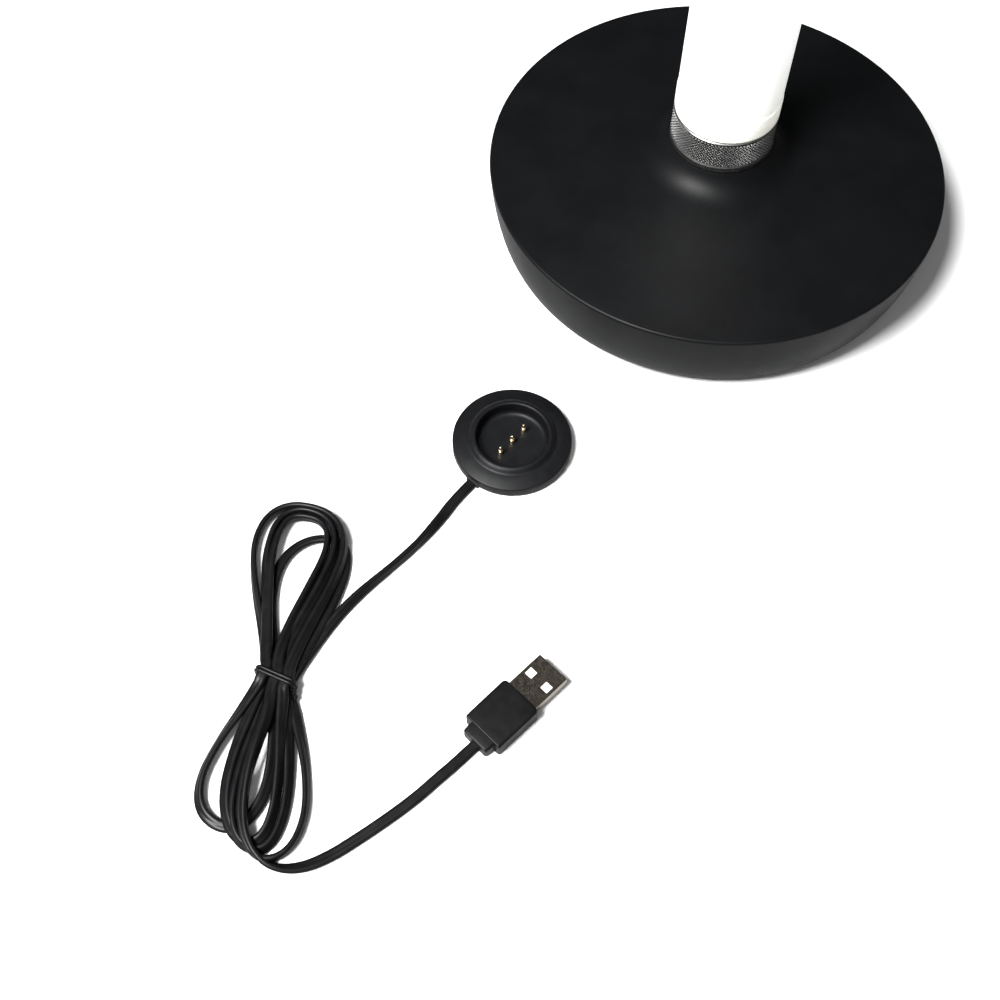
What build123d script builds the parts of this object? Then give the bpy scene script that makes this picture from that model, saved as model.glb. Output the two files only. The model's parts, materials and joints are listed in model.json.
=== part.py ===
"""Rechargeable light tube: a weighted black base, a knurled dimmer collar, a plug-in opal
light tube, and its magnetic charging lead (puck, flat cord in a tied hank, USB-A plug).

Millimetres, +Z up. The origin is on the lamp's axis, at the surface it stands on.
"""
from build123d import *
import math
import os

# ---- driving dimensions ---------------------------------------------------------------
# lamp base
BASE_R = 83.0              # widest radius, at the crisp rim
RIM_Z = 33.0
RIM_ROUND = 0.7
BASE_SIDE = [(73.5, 2.2), (79.2, 9.9), (82.1, 23.8)]   # the bowl-shaped side, up from the foot
SEAT_R, SEAT_Z = 18.6, 46.0    # flat that the collar turns on
FLARE_R = 13.0             # radius of the trumpet that rises to the seat
FLARE_START = (29.0, 38.4)
FLARE_STEEP = 65.0         # slope of the trumpet at the seat, in degrees
FOOT_H = 2.2               # the pads lift the base clear of the flat cord
PAD_IN, PAD_OUT, PAD_ARC = 54.0, 64.0, 70.0
NECK_R, NECK_TOP = 14.0, 57.6
NECK_BORE_R = 11.6
GROOVE_Z, GROOVE_R = 56.2, 13.2
CEILING_Z = 34.0           # underside of the housing round the neck
PLATE_R, PLATE_T = 67.4, 2.0
BALLAST_IN, BALLAST_OUT = 46.0, 68.0
BALLAST_Z, BALLAST_T = 16.0, 10.0
FIXING_R = 57.0            # pitch radius of the ballast screws
POST_R, POST_PITCH_R = 3.6, 61.0
SCREW_R, SCREW_HOLE_R = 1.6, 1.75
CELL_R, CELL_L = 9.2, 65.0
CELL_Y, CELL_Z = 21.6, 22.4
BOARD_L, BOARD_W, BOARD_T = 66.0, 20.0, 1.6
BOARD_Z, BOARD_FIXING_X = 22.0, 28.0

# knurled collar
COLLAR_R, COLLAR_BORE = 18.5, 14.08
COLLAR_Z, COLLAR_TOP = 46.3, 59.9
KNURL_Z, KNURL_TOP, KNURL_R = 49.0, 58.8, 18.4
MAGNET_RING_IN, MAGNET_RING_OUT, MAGNET_RING_T = 15.0, 17.0, 1.5

# light tube
TUBE_R, TUBE_BORE = 18.1, 16.3
TUBE_Z, TUBE_TOP = 60.2, 328.0
CAP_T, CAP_SPIGOT = 3.2, 6.0
FERRULE_R, FERRULE_TOP = 16.2, 72.0
SPIGOT_R, SPIGOT_Z = 11.3, 44.0
MAST_FLAT, MAST_BORE = 14.0, 4.5   # hexagonal mast, across the flats
MAST_Z, MAST_TOP = 74.0, 312.0
STRIP_W, STRIP_T = 7.6, 1.0
CHIP_W, CHIP_T, CHIP_COUNT = 3.0, 0.8, 16
CONTACT_RING_R = 5.0       # pitch radius of the tube's three contacts

# charging dock under the base
DOCK_R, DOCK_WALL = 22.0, 2.0
DOCK_CEILING = 8.6
BOSS_R, BOSS_Z = 12.1, 5.6

# charging puck
PUCK_X, PUCK_Y = -75.0, -102.1
PUCK_ANGLE = 228.5         # the cord leaves this way, and the pins stand in line with it
PUCK_R, PUCK_EDGE_Z = 20.8, 4.7
PUCK_LIP_R, PUCK_LIP_Z = 13.7, 7.5
RECESS_R, RECESS_Z = 12.5, 2.2
PIN_PITCH, PIN_R = 6.1, 0.5
BARREL_R, BARREL_BORE = 0.8, 0.55
BARREL_Z, BARREL_TOP = 1.45, 4.2
PIN_TAIL, PIN_TOP = 3.4, 6.4
GROMMET_W, GROMMET_H, GROMMET_OUT = 5.4, 2.9, 21.0

# flat two-core cord
CORD_W, CORD_T = 3.8, 1.9
END_RUN = 8.0              # straight out of the puck and of the plug

# hank and its tie
HANK_H = 7.0
TIE_X, TIE_Y, TIE_ANGLE = -149.7, -190.6, -24.0
TIE_W, TIE_L, TIE_H = 14.6, 2.2, 7.6
CORE_W, CORE_Z, CORE_H = 12.0, 1.0, 5.2

# USB-A plug
PLUG_X, PLUG_Y = -84.6, -209.2     # centre of the overmould's cord end
PLUG_ANGLE = 44.5                  # towards the shell's tip
OVER_L, OVER_W, OVER_H, OVER_ROUND = 17.2, 15.0, 7.6, 0.9
RELIEF_L, RELIEF_W, RELIEF_H = 3.4, 10.4, 5.8
SHELL_W, SHELL_H, SHELL_T = 12.0, 4.5, 0.35
SHELL_L, SHELL_IN = 13.8, 5.0      # outside and inside the overmould
WINDOW, WINDOW_U, WINDOW_V = 2.8, 24.5, 3.4
TONGUE_W, TONGUE_T = 11.0, 1.8

os.makedirs("parts", exist_ok=True)


def keep(solid, label):
    """Names a finished piece and writes it to its own file."""
    solid.label = label
    export_step(solid, f"parts/{label}.step")


def on_circle(radius, *angles):
    """Points on a circle about the lamp's axis."""
    return [(radius * math.cos(math.radians(a)), radius * math.sin(math.radians(a)))
            for a in angles]


def ring(inner, outer, low, high):
    """A plain ring about the lamp's axis."""
    with BuildPart() as made:
        with BuildSketch(Plane.XY.offset(low)):
            Circle(outer)
            Circle(inner, mode=Mode.SUBTRACT)
        extrude(amount=high - low)
    return made.part


def screws(spots, face_z, head_r, head_h, length):
    """Socket screws driven upwards, their heads bearing on face_z from below."""
    with BuildPart() as made:
        with BuildSketch(Plane.XY.offset(face_z - head_h)):
            with Locations(*spots):
                Circle(head_r)
        extrude(amount=head_h)
        with BuildSketch(Plane.XY.offset(face_z)):
            with Locations(*spots):
                Circle(SCREW_R)
        extrude(amount=length)
        with BuildSketch(Plane.XY.offset(face_z - head_h)):
            with Locations(*spots):
                RegularPolygon(head_r * 0.5, 6)
        extrude(amount=head_h * 0.6, mode=Mode.SUBTRACT)
    return made.part


fixing_spots = on_circle(FIXING_R, 0, 120, 240)
post_spots = on_circle(POST_PITCH_R, 60, 180, 300)
board_spots = [(-BOARD_FIXING_X, 0), (BOARD_FIXING_X, 0)]
slope = math.degrees(math.atan2(FLARE_START[1] - RIM_Z, BASE_R - FLARE_START[0]))
ballast_top = BALLAST_Z + BALLAST_T
board_top = BOARD_Z + BOARD_T
plate_top = FOOT_H + PLATE_T

# ---- base housing ---------------------------------------------------------------------
with BuildPart() as base_housing:
    with BuildSketch(Plane.XZ):
        with BuildLine():
            side = Spline(*BASE_SIDE, (BASE_R, RIM_Z - 0.6), tangents=((1, 0.1), (0.04, 1)))
            rim = RadiusArc(side @ 1, (BASE_R - RIM_ROUND, RIM_Z + 0.07), -RIM_ROUND)
            Line(rim @ 1, FLARE_START)
            inwards = (-math.cos(math.radians(slope)), math.sin(math.radians(slope)))
            flare = JernArc(FLARE_START, inwards, FLARE_R, slope - FLARE_STEEP)
            Polyline(flare @ 1, (SEAT_R - 0.2, SEAT_Z), (NECK_R, SEAT_Z),
                     (NECK_R, GROOVE_Z), (GROOVE_R, GROOVE_Z), (GROOVE_R, GROOVE_Z + 1),
                     (NECK_R, GROOVE_Z + 1), (NECK_R, NECK_TOP), (NECK_BORE_R, NECK_TOP),
                     (NECK_BORE_R, CEILING_Z), (24.0, CEILING_Z), (78.0, 28.6),
                     (77.4, 18.0), (73.0, 9.0), (PLATE_R + 0.2, 5.0),
                     (PLATE_R + 0.2, FOOT_H), BASE_SIDE[0])
        make_face()
    revolve(axis=Axis.Z)
    # bosses for the ballast and for the control board hang from the ceiling
    with BuildSketch(Plane.XY.offset(ballast_top)):
        with Locations(*fixing_spots):
            Circle(4.5)
    extrude(until=Until.NEXT)
    with BuildSketch(Plane.XY.offset(board_top)):
        with Locations(*board_spots):
            Circle(3.2)
    extrude(until=Until.NEXT)
    with BuildSketch(Plane.XY.offset(ballast_top)):
        with Locations(*fixing_spots):
            Circle(SCREW_HOLE_R)
    extrude(amount=6.0, mode=Mode.SUBTRACT)
    with BuildSketch(Plane.XY.offset(board_top)):
        with Locations(*board_spots):
            Circle(SCREW_HOLE_R)
    extrude(amount=8.0, mode=Mode.SUBTRACT)
keep(base_housing.part, "base_housing")

# ---- ballast, plate, posts and pads ---------------------------------------------------
with BuildPart() as ballast_ring:
    with BuildSketch(Plane.XY.offset(BALLAST_Z)):
        Circle(BALLAST_OUT)
        Circle(BALLAST_IN, mode=Mode.SUBTRACT)
        with Locations(*fixing_spots, *post_spots):
            Circle(SCREW_HOLE_R, mode=Mode.SUBTRACT)
    extrude(amount=BALLAST_T)
    chamfer(ballast_ring.edges().filter_by(GeomType.CIRCLE).sort_by(SortBy.RADIUS)[-4:], 0.8)
keep(ballast_ring.part, "ballast_ring")
keep(screws(fixing_spots, BALLAST_Z, 3.2, 2.8, 15.0), "ballast_screws")

with BuildPart() as bottom_plate:
    with BuildSketch(Plane.XY.offset(FOOT_H)):
        Circle(PLATE_R)
        Circle(DOCK_R + DOCK_WALL + 0.15, mode=Mode.SUBTRACT)
        with Locations(*post_spots):
            Circle(SCREW_HOLE_R, mode=Mode.SUBTRACT)
    extrude(amount=PLATE_T)
    with BuildSketch(Plane.XY.offset(FOOT_H)):
        with Locations(*post_spots):
            Circle(3.1)
    extrude(amount=1.2, mode=Mode.SUBTRACT)
keep(bottom_plate.part, "bottom_plate")

with BuildPart() as plate_posts:
    with BuildSketch(Plane.XY.offset(plate_top)):
        with Locations(*post_spots):
            RegularPolygon(POST_R, 6)
            Circle(SCREW_HOLE_R, mode=Mode.SUBTRACT)
    extrude(amount=BALLAST_Z - plate_top)
keep(plate_posts.part, "plate_posts")
keep(screws(post_spots, FOOT_H + 1.2, 2.8, 1.1, 18.0), "plate_screws")

with BuildPart() as foot_pads:
    with BuildSketch():
        with BuildLine():
            outer = CenterArc((0, 0), PAD_OUT, -PAD_ARC / 2, PAD_ARC)
            inner = CenterArc((0, 0), PAD_IN - 1, -PAD_ARC / 2, PAD_ARC)
            Line(outer @ 0, inner @ 0)
            Line(outer @ 1, inner @ 1)
        make_face()
    extrude(amount=FOOT_H)
    chamfer(foot_pads.edges().group_by(Axis.Z)[0], 0.4)
    with PolarLocations(0, 2, start_angle=120, angular_range=240):
        add(foot_pads.part)
keep(foot_pads.part, "foot_pads")

# ---- battery and control board --------------------------------------------------------
with BuildPart() as battery_cells:
    with BuildSketch(Plane.YZ.offset(-CELL_L / 2)):
        with Locations((-CELL_Y, CELL_Z), (CELL_Y, CELL_Z)):
            Circle(CELL_R)
    extrude(amount=CELL_L)
    fillet(battery_cells.edges().filter_by(GeomType.CIRCLE), 0.8)
    # positive buttons
    with BuildSketch(Plane.YZ.offset(CELL_L / 2)):
        with Locations((-CELL_Y, CELL_Z), (CELL_Y, CELL_Z)):
            Circle(3.0)
    extrude(amount=0.8)
keep(battery_cells.part, "battery_cells")

with BuildPart() as battery_cradle:
    with BuildSketch(Plane.XY.offset(plate_top)):
        with Locations((-29.0, 0), (29.0, 0)):
            Rectangle(5.0, 61.0)
    extrude(amount=CELL_Z - plate_top)
    with BuildSketch(Plane.YZ.offset(-CELL_L / 2)):
        with Locations((-CELL_Y, CELL_Z), (CELL_Y, CELL_Z)):
            Circle(CELL_R)
    extrude(amount=CELL_L, mode=Mode.SUBTRACT)
    with BuildSketch(Plane.XY.offset(CELL_Z - 6)):
        Rectangle(BOARD_L + 2, BOARD_W + 2)
    extrude(amount=8.0, mode=Mode.SUBTRACT)
keep(battery_cradle.part, "battery_cradle")

with BuildPart() as control_board:
    with BuildSketch(Plane.XY.offset(BOARD_Z)):
        RectangleRounded(BOARD_L, BOARD_W, 1.5)
        with Locations(*board_spots):
            Circle(SCREW_HOLE_R, mode=Mode.SUBTRACT)
    extrude(amount=BOARD_T)
keep(control_board.part, "control_board")

with BuildPart() as board_parts:
    with BuildSketch(Plane.XY.offset(BOARD_Z)):
        with Locations((-15, 3), (0, -4), (14, 4), (20, -5)):
            Rectangle(5.0, 5.0)
    extrude(amount=-1.4)
    with BuildSketch(Plane.XY.offset(BOARD_Z)):
        with Locations((-6, 3), (7, -3)):
            Circle(2.6)
    extrude(amount=-3.2)
keep(board_parts.part, "board_parts")
keep(screws(board_spots, BOARD_Z, 2.8, 1.8, 8.0), "board_screws")

# ---- socket in the neck ---------------------------------------------------------------
contact_spots = on_circle(CONTACT_RING_R, 90, 210, 330)
with BuildPart() as tube_socket:
    with BuildSketch(Plane.XY.offset(31.5)):
        Circle(16.0)
        Circle(2.0, mode=Mode.SUBTRACT)
    extrude(amount=CEILING_Z - 31.5)
    with BuildSketch(Plane.XY.offset(CEILING_Z)):
        Circle(NECK_BORE_R - 0.1)
        Circle(2.0, mode=Mode.SUBTRACT)
    extrude(amount=40.0 - CEILING_Z)
    with BuildSketch(Plane.XY.offset(39.0)):
        with Locations(*contact_spots):
            Circle(1.8)
    extrude(amount=1.0, mode=Mode.SUBTRACT)
keep(tube_socket.part, "tube_socket")

with BuildPart() as socket_contacts:
    with BuildSketch(Plane.XY.offset(39.0)):
        with Locations(*contact_spots):
            Circle(1.8)
    extrude(amount=2.6)
    fillet(socket_contacts.edges().group_by(Axis.Z)[-1], 0.5)
keep(socket_contacts.part, "socket_contacts")

# ---- knurled collar and what holds it -------------------------------------------------
with BuildPart() as knurled_collar:
    with BuildSketch(Plane.XZ):
        with BuildLine():
            Polyline((COLLAR_BORE, COLLAR_Z), (MAGNET_RING_IN, COLLAR_Z),
                     (MAGNET_RING_IN, COLLAR_Z + MAGNET_RING_T),
                     (MAGNET_RING_OUT, COLLAR_Z + MAGNET_RING_T), (MAGNET_RING_OUT, COLLAR_Z),
                     (COLLAR_R - 0.3, COLLAR_Z), (COLLAR_R, COLLAR_Z + 0.3),
                     (COLLAR_R, KNURL_Z - 0.4), (COLLAR_R - 0.4, KNURL_Z - 0.2),
                     (KNURL_R, KNURL_Z), (KNURL_R, KNURL_TOP), (COLLAR_R - 0.4, KNURL_TOP + 0.2),
                     (COLLAR_R - 0.1, COLLAR_TOP - 0.3), (COLLAR_R - 0.4, COLLAR_TOP),
                     (TUBE_BORE + 0.3, COLLAR_TOP), (TUBE_BORE + 0.3, GROOVE_Z - 0.2),
                     (COLLAR_BORE, GROOVE_Z - 0.2), close=True)
        make_face()
    revolve(axis=Axis.Z)
keep(knurled_collar.part, "knurled_collar")
keep(ring(MAGNET_RING_IN, MAGNET_RING_OUT, COLLAR_Z, COLLAR_Z + MAGNET_RING_T - 0.1),
     "collar_magnet_ring")
keep(ring(NECK_R + 0.05, 17.6, SEAT_Z, COLLAR_Z - 0.1), "collar_washer")

with BuildPart() as retaining_clip:
    with BuildSketch(Plane.XY.offset(GROOVE_Z + 0.05)):
        Circle(15.8)
        Circle(GROOVE_R + 0.05, mode=Mode.SUBTRACT)
        with Locations((0, 15)):
            Rectangle(7.0, 8.0, mode=Mode.SUBTRACT)
    extrude(amount=0.9)
keep(retaining_clip.part, "retaining_clip")

# ---- light tube -----------------------------------------------------------------------
with BuildPart() as tube_ferrule:
    with BuildSketch(Plane.XZ):
        with BuildLine():
            Polyline((9.6, SPIGOT_Z), (SPIGOT_R - 0.4, SPIGOT_Z), (SPIGOT_R, SPIGOT_Z + 0.4),
                     (SPIGOT_R, NECK_TOP + 0.15), (FERRULE_R, NECK_TOP + 0.15),
                     (FERRULE_R, 65.0), (14.8, 65.0), (14.8, 66.8), (FERRULE_R, 66.8),
                     (FERRULE_R, FERRULE_TOP), (6.0, FERRULE_TOP), (6.0, SPIGOT_Z + 3.0),
                     (9.6, SPIGOT_Z + 3.0), close=True)
        make_face()
    revolve(axis=Axis.Z)
    with BuildSketch(Plane.XY.offset(FERRULE_TOP)):
        with Locations(*on_circle(12.0, 30, 150, 270)):
            Circle(1.1)
    extrude(amount=-4.2, mode=Mode.SUBTRACT)
keep(tube_ferrule.part, "tube_ferrule")

with BuildPart() as ferrule_seal:
    with BuildSketch(Plane.XZ):
        with Locations((15.55, 65.9)):
            Circle(0.74)
    revolve(axis=Axis.Z)
keep(ferrule_seal.part, "ferrule_seal")

with BuildPart() as contact_block:
    with BuildSketch(Plane.XY.offset(SPIGOT_Z)):
        Circle(9.5)
        with Locations(*contact_spots):
            Circle(1.0, mode=Mode.SUBTRACT)
    extrude(amount=2.9)
keep(contact_block.part, "contact_block")

with BuildPart() as tube_contacts:
    with BuildSketch(Plane.XY.offset(SPIGOT_Z - 2.2)):
        with Locations(*contact_spots):
            Circle(1.0)
    extrude(amount=5.0)
    fillet(tube_contacts.edges().group_by(Axis.Z)[0], 0.4)
keep(tube_contacts.part, "tube_contacts")

with BuildPart() as diffuser_tube:
    with BuildSketch(Plane.XY.offset(TUBE_Z)):
        Circle(TUBE_R)
        Circle(TUBE_BORE, mode=Mode.SUBTRACT)
    extrude(amount=TUBE_TOP - TUBE_Z)
    fillet(diffuser_tube.edges().group_by(Axis.Z)[0], 0.5)
keep(diffuser_tube.part, "diffuser_tube")

with BuildPart() as end_cap:
    with BuildSketch(Plane.XY.offset(TUBE_TOP)):
        Circle(TUBE_R)
    extrude(amount=CAP_T)
    fillet(end_cap.edges().group_by(Axis.Z)[-1], 2.4)
    with BuildSketch(Plane.XY.offset(TUBE_TOP)):
        Circle(TUBE_BORE - 0.1)
        Circle(TUBE_BORE - 2.0, mode=Mode.SUBTRACT)
    extrude(amount=-CAP_SPIGOT)
keep(end_cap.part, "end_cap")

with BuildPart() as led_mast:
    with BuildSketch(Plane.XY.offset(MAST_Z)):
        RegularPolygon(MAST_FLAT / 2, 6, major_radius=False)
        Circle(MAST_BORE, mode=Mode.SUBTRACT)
    extrude(amount=MAST_TOP - MAST_Z)
keep(led_mast.part, "led_mast")

mast_screw_spots = on_circle(12.0, 30, 150, 270)
with BuildPart() as mast_foot:
    with BuildSketch(Plane.XY.offset(FERRULE_TOP)):
        Circle(15.8)
        Circle(MAST_BORE, mode=Mode.SUBTRACT)
        with Locations(*mast_screw_spots):
            Circle(1.1, mode=Mode.SUBTRACT)
    extrude(amount=MAST_Z - FERRULE_TOP)
keep(mast_foot.part, "mast_foot")

with BuildPart() as mast_screws:
    with BuildSketch(Plane.XY.offset(FERRULE_TOP - 4.0)):
        with Locations(*mast_screw_spots):
            Circle(1.0)
    extrude(amount=4.0 + MAST_Z - FERRULE_TOP)
    with BuildSketch(Plane.XY.offset(MAST_Z)):
        with Locations(*mast_screw_spots):
            Circle(1.9)
    extrude(amount=1.4)
    with BuildSketch(Plane.XY.offset(MAST_Z + 1.4)):
        with Locations(*mast_screw_spots):
            RegularPolygon(1.0, 6)
    extrude(amount=-0.8, mode=Mode.SUBTRACT)
keep(mast_screws.part, "mast_screws")

with BuildPart() as mast_spider:
    with BuildSketch(Plane.XY.offset(MAST_TOP)):
        Circle(TUBE_BORE - 0.15)
        with PolarLocations(10.5, 3, start_angle=90):
            SlotOverall(11.0, 5.0, rotation=90, mode=Mode.SUBTRACT)
    extrude(amount=2.0)
keep(mast_spider.part, "mast_spider")

strip_length = MAST_TOP - MAST_Z - 6.0
strip_middle = (MAST_TOP + MAST_Z) / 2


def mast_face(angle, distance):
    """Plane on one flat of the mast, at a distance from the axis, with x along the mast."""
    out = (math.cos(math.radians(angle)), math.sin(math.radians(angle)), 0)
    middle = (out[0] * distance, out[1] * distance, strip_middle)
    return Plane(origin=middle, x_dir=(0, 0, 1), z_dir=out)


with BuildPart() as led_strips:
    for angle in (90, 210, 330):
        with BuildSketch(mast_face(angle, MAST_FLAT / 2)):
            Rectangle(strip_length, STRIP_W)
        extrude(amount=STRIP_T)
keep(led_strips.part, "led_strips")

with BuildPart() as led_chips:
    for angle in (90, 210, 330):
        with BuildSketch(mast_face(angle, MAST_FLAT / 2 + STRIP_T)):
            with GridLocations(strip_length / CHIP_COUNT, 0, CHIP_COUNT, 1):
                Rectangle(CHIP_W, CHIP_W)
        extrude(amount=CHIP_T)
keep(led_chips.part, "led_chips")

# ---- charging dock under the base -----------------------------------------------------
dock_spots = [(-PIN_PITCH, 0), (0, 0), (PIN_PITCH, 0)]
dock_top = DOCK_CEILING + 1.6
with BuildPart() as dock_cup:
    with BuildSketch(Plane.XZ):
        with BuildLine():
            Polyline((0, BOSS_Z), (BOSS_R - 0.6, BOSS_Z), (BOSS_R, BOSS_Z + 0.6),
                     (BOSS_R, DOCK_CEILING), (DOCK_R, DOCK_CEILING), (DOCK_R, FOOT_H),
                     (DOCK_R + DOCK_WALL, FOOT_H), (DOCK_R + DOCK_WALL, plate_top),
                     (DOCK_R + 4.0, plate_top), (DOCK_R + 4.0, plate_top + 1.5),
                     (DOCK_R + DOCK_WALL, plate_top + 1.5), (DOCK_R + DOCK_WALL, dock_top),
                     (0, dock_top), close=True)
        make_face()
    revolve(axis=Axis.Z)
    with BuildSketch(Plane.XY.offset(BOSS_Z)):
        with Locations(*dock_spots):
            Circle(1.6)
    extrude(amount=0.8, mode=Mode.SUBTRACT)
keep(dock_cup.part, "dock_cup")

with BuildPart() as dock_contacts:
    with BuildSketch(Plane.XY.offset(BOSS_Z + 0.05)):
        with Locations(*dock_spots):
            Circle(1.6)
    extrude(amount=0.75)
keep(dock_contacts.part, "dock_contacts")
keep(ring(14.0, 20.0, dock_top, dock_top + 2.4), "dock_magnet")

# ---- charging puck --------------------------------------------------------------------
puck = Plane(origin=(PUCK_X, PUCK_Y, 0), x_dir=(math.cos(math.radians(PUCK_ANGLE)),
                                                math.sin(math.radians(PUCK_ANGLE)), 0))
puck_section = Plane(origin=puck.origin, x_dir=puck.x_dir, z_dir=-puck.y_dir)
puck_axis = Axis(puck.origin, (0, 0, 1))
pin_spots = [(-PIN_PITCH, 0), (0, 0), (PIN_PITCH, 0)]
grommet_length = GROMMET_OUT - 19.0

with BuildPart() as puck_cover:
    with BuildSketch(puck_section):
        with BuildLine():
            Polyline((PUCK_R - 0.9, 0.3), (PUCK_R, 1.0), (PUCK_R, PUCK_EDGE_Z - 0.5))
            edge = RadiusArc((PUCK_R, PUCK_EDGE_Z - 0.5), (PUCK_R - 0.35, PUCK_EDGE_Z + 0.15),
                             -0.7)
            crown = ThreePointArc(edge @ 1, (17.4, 6.25), (PUCK_LIP_R, PUCK_LIP_Z - 0.05))
            lip = ThreePointArc(crown @ 1, (12.95, PUCK_LIP_Z - 0.25), (RECESS_R, 6.6))
            Polyline(lip @ 1, (RECESS_R, RECESS_Z), (0, RECESS_Z), (0, 1.4), (13.4, 1.4),
                     (13.4, 5.9), (19.6, 3.4), (19.6, 0.3), (PUCK_R - 0.9, 0.3))
        make_face()
    revolve(axis=puck_axis)
    with BuildSketch(puck):
        with Locations(*pin_spots):
            Circle(BARREL_R)
    extrude(amount=RECESS_Z, mode=Mode.SUBTRACT)
    with BuildSketch(puck):
        with Locations((20.4, 0)):
            Rectangle(3.0, GROMMET_W)
    extrude(amount=GROMMET_H, mode=Mode.SUBTRACT)
keep(puck_cover.part, "puck_cover")

with BuildPart() as puck_base:
    with BuildSketch(puck):
        Circle(19.5)
        with Locations((20.4, 0)):
            Rectangle(3.0, GROMMET_W, mode=Mode.SUBTRACT)
    extrude(amount=0.9)
    chamfer(puck_base.edges().group_by(Axis.Z)[0], 0.25)
keep(puck_base.part, "puck_base")

with BuildPart() as puck_board:
    with BuildSketch(puck.offset(0.95)):
        Circle(12.0)
    extrude(amount=0.4)
keep(puck_board.part, "puck_board")

with BuildPart() as puck_magnet:
    with BuildSketch(puck.offset(1.0)):
        Circle(18.5)
        Circle(14.0, mode=Mode.SUBTRACT)
    extrude(amount=2.6)
keep(puck_magnet.part, "puck_magnet")

with BuildPart() as puck_grommet:
    with BuildSketch(puck):
        with Locations((19.0 + grommet_length / 2, 0)):
            Rectangle(grommet_length, GROMMET_W)
    extrude(amount=GROMMET_H)
    chamfer(puck_grommet.edges().filter_by(Axis.Z).sort_by(Axis((0, 0, 0), puck.x_dir))[-2:], 0.3)
keep(puck_grommet.part, "puck_grommet")

with BuildPart() as pogo_barrels:
    with BuildSketch(puck.offset(BARREL_Z)):
        with Locations(*pin_spots):
            Circle(BARREL_R)
    extrude(amount=BARREL_TOP - BARREL_Z)
    with BuildSketch(puck.offset(BARREL_Z + 0.2)):
        with Locations(*pin_spots):
            Circle(BARREL_BORE)
    extrude(amount=BARREL_TOP - BARREL_Z, mode=Mode.SUBTRACT)
keep(pogo_barrels.part, "pogo_barrels")

for letter, spot in zip("abc", pin_spots):
    with BuildPart() as pogo_pin:
        with BuildSketch(puck.offset(PIN_TAIL)):
            with Locations(spot):
                Circle(PIN_R)
        extrude(amount=PIN_TOP - PIN_TAIL)
        fillet(pogo_pin.edges().group_by(Axis.Z)[-1], 0.35)
    keep(pogo_pin.part, f"pogo_pin_{letter}")
    with BuildPart() as pogo_spring:
        with BuildSketch(puck.offset(BARREL_Z + 0.22)):
            with Locations(spot):
                Circle(0.46)
                Circle(0.24, mode=Mode.SUBTRACT)
        extrude(amount=PIN_TAIL - BARREL_Z - 0.24)
    keep(pogo_spring.part, f"pogo_spring_{letter}")

# ---- flat cord ------------------------------------------------------------------------
# The puck's lead, from the grommet's face to the side of the hank.
grommet_face = puck.origin + puck.x_dir * GROMMET_OUT
lead_start = grommet_face + puck.x_dir * END_RUN
IN_ROUTE = [(grommet_face.X, grommet_face.Y), (lead_start.X, lead_start.Y), (-99.8, -133.0),
            (-107.0, -140.9), (-115.6, -149.4), (-124.4, -157.6), (-131.4, -166.0)]
# The plug's lead, from the bottom of the hank to the plug's cord end.
plug = Plane(origin=(PLUG_X, PLUG_Y, 0), x_dir=(math.cos(math.radians(PLUG_ANGLE)),
                                                math.sin(math.radians(PLUG_ANGLE)), 0))
plug_end = plug.origin - plug.x_dir * RELIEF_L
lead_end = plug_end - plug.x_dir * END_RUN
OUT_ROUTE = [(-145.4, -249.3), (-138.0, -249.8), (-130.0, -247.7), (-121.5, -242.8),
             (-112.4, -236.6), (-104.4, -230.0), (-98.2, -223.2),
             (lead_end.X, lead_end.Y), (plug_end.X, plug_end.Y)]


def flat_lead(route, label):
    """Sweeps the flat section along straight runs joined by the largest tangent arcs."""
    points = [Vector(x, y, CORD_T / 2) for x, y in route]
    runs = [b - a for a, b in zip(points, points[1:])]
    radii = [0.45 * min(one.length, two.length)
             / math.tan(math.radians(one.get_angle(two)) / 2)
             for one, two in zip(runs, runs[1:])]
    print(label, "corner radii", [round(r, 1) for r in radii])
    with BuildPart() as made:
        with BuildLine() as path:
            FilletPolyline(*points, radius=radii)
        with BuildSketch(Plane(origin=points[0], z_dir=runs[0],
                               x_dir=Vector(0, 0, 1).cross(runs[0]))):
            SlotOverall(CORD_W, CORD_T)
        sweep(path=path.wires()[0])
    length = path.wires()[0].length
    section = CORD_T * (CORD_W - CORD_T) + math.pi * CORD_T ** 2 / 4
    print(label, "length %.1f" % length, "volume %.1f" % made.part.volume,
          "section x length %.1f" % (section * length))
    keep(made.part, label)
    return length


lead_length = flat_lead(IN_ROUTE, "cord_puck_lead") + flat_lead(OUT_ROUTE, "cord_plug_lead")

# The hank's outer shape: two lobes of loose turns and the waist that the tie pulls in.
HANK_OUTLINE = [(-143.4, -196.0), (-140.2, -209.0), (-137.4, -227.0), (-140.6, -241.5),
                (-149.5, -247.2), (-159.5, -241.5), (-168.0, -235.0), (-170.8, -224.0),
                (-165.0, -207.0), (-156.6, -191.0), (-157.2, -172.0), (-162.6, -146.0),
                (-157.0, -131.5), (-146.5, -126.6), (-135.0, -132.5), (-127.4, -149.0),
                (-132.0, -167.0), (-142.4, -186.0)]
tie = Plane(origin=(TIE_X, TIE_Y, 0), x_dir=(math.cos(math.radians(TIE_ANGLE)),
                                             math.sin(math.radians(TIE_ANGLE)), 0))
with BuildPart() as cord_hank:
    with BuildSketch():
        with BuildLine():
            Spline(*HANK_OUTLINE, periodic=True)
        make_face()
    extrude(amount=HANK_H)
    fillet(cord_hank.edges().group_by(Axis.Z)[-1], 1.8)
    with BuildSketch(tie):
        Rectangle(TIE_W + 6.0, TIE_L)
    extrude(amount=TIE_H, mode=Mode.SUBTRACT)
    with BuildSketch(tie.offset(CORE_Z)):
        Rectangle(CORE_W, TIE_L)
    extrude(amount=CORE_H)
keep(cord_hank.part, "cord_hank")

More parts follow.
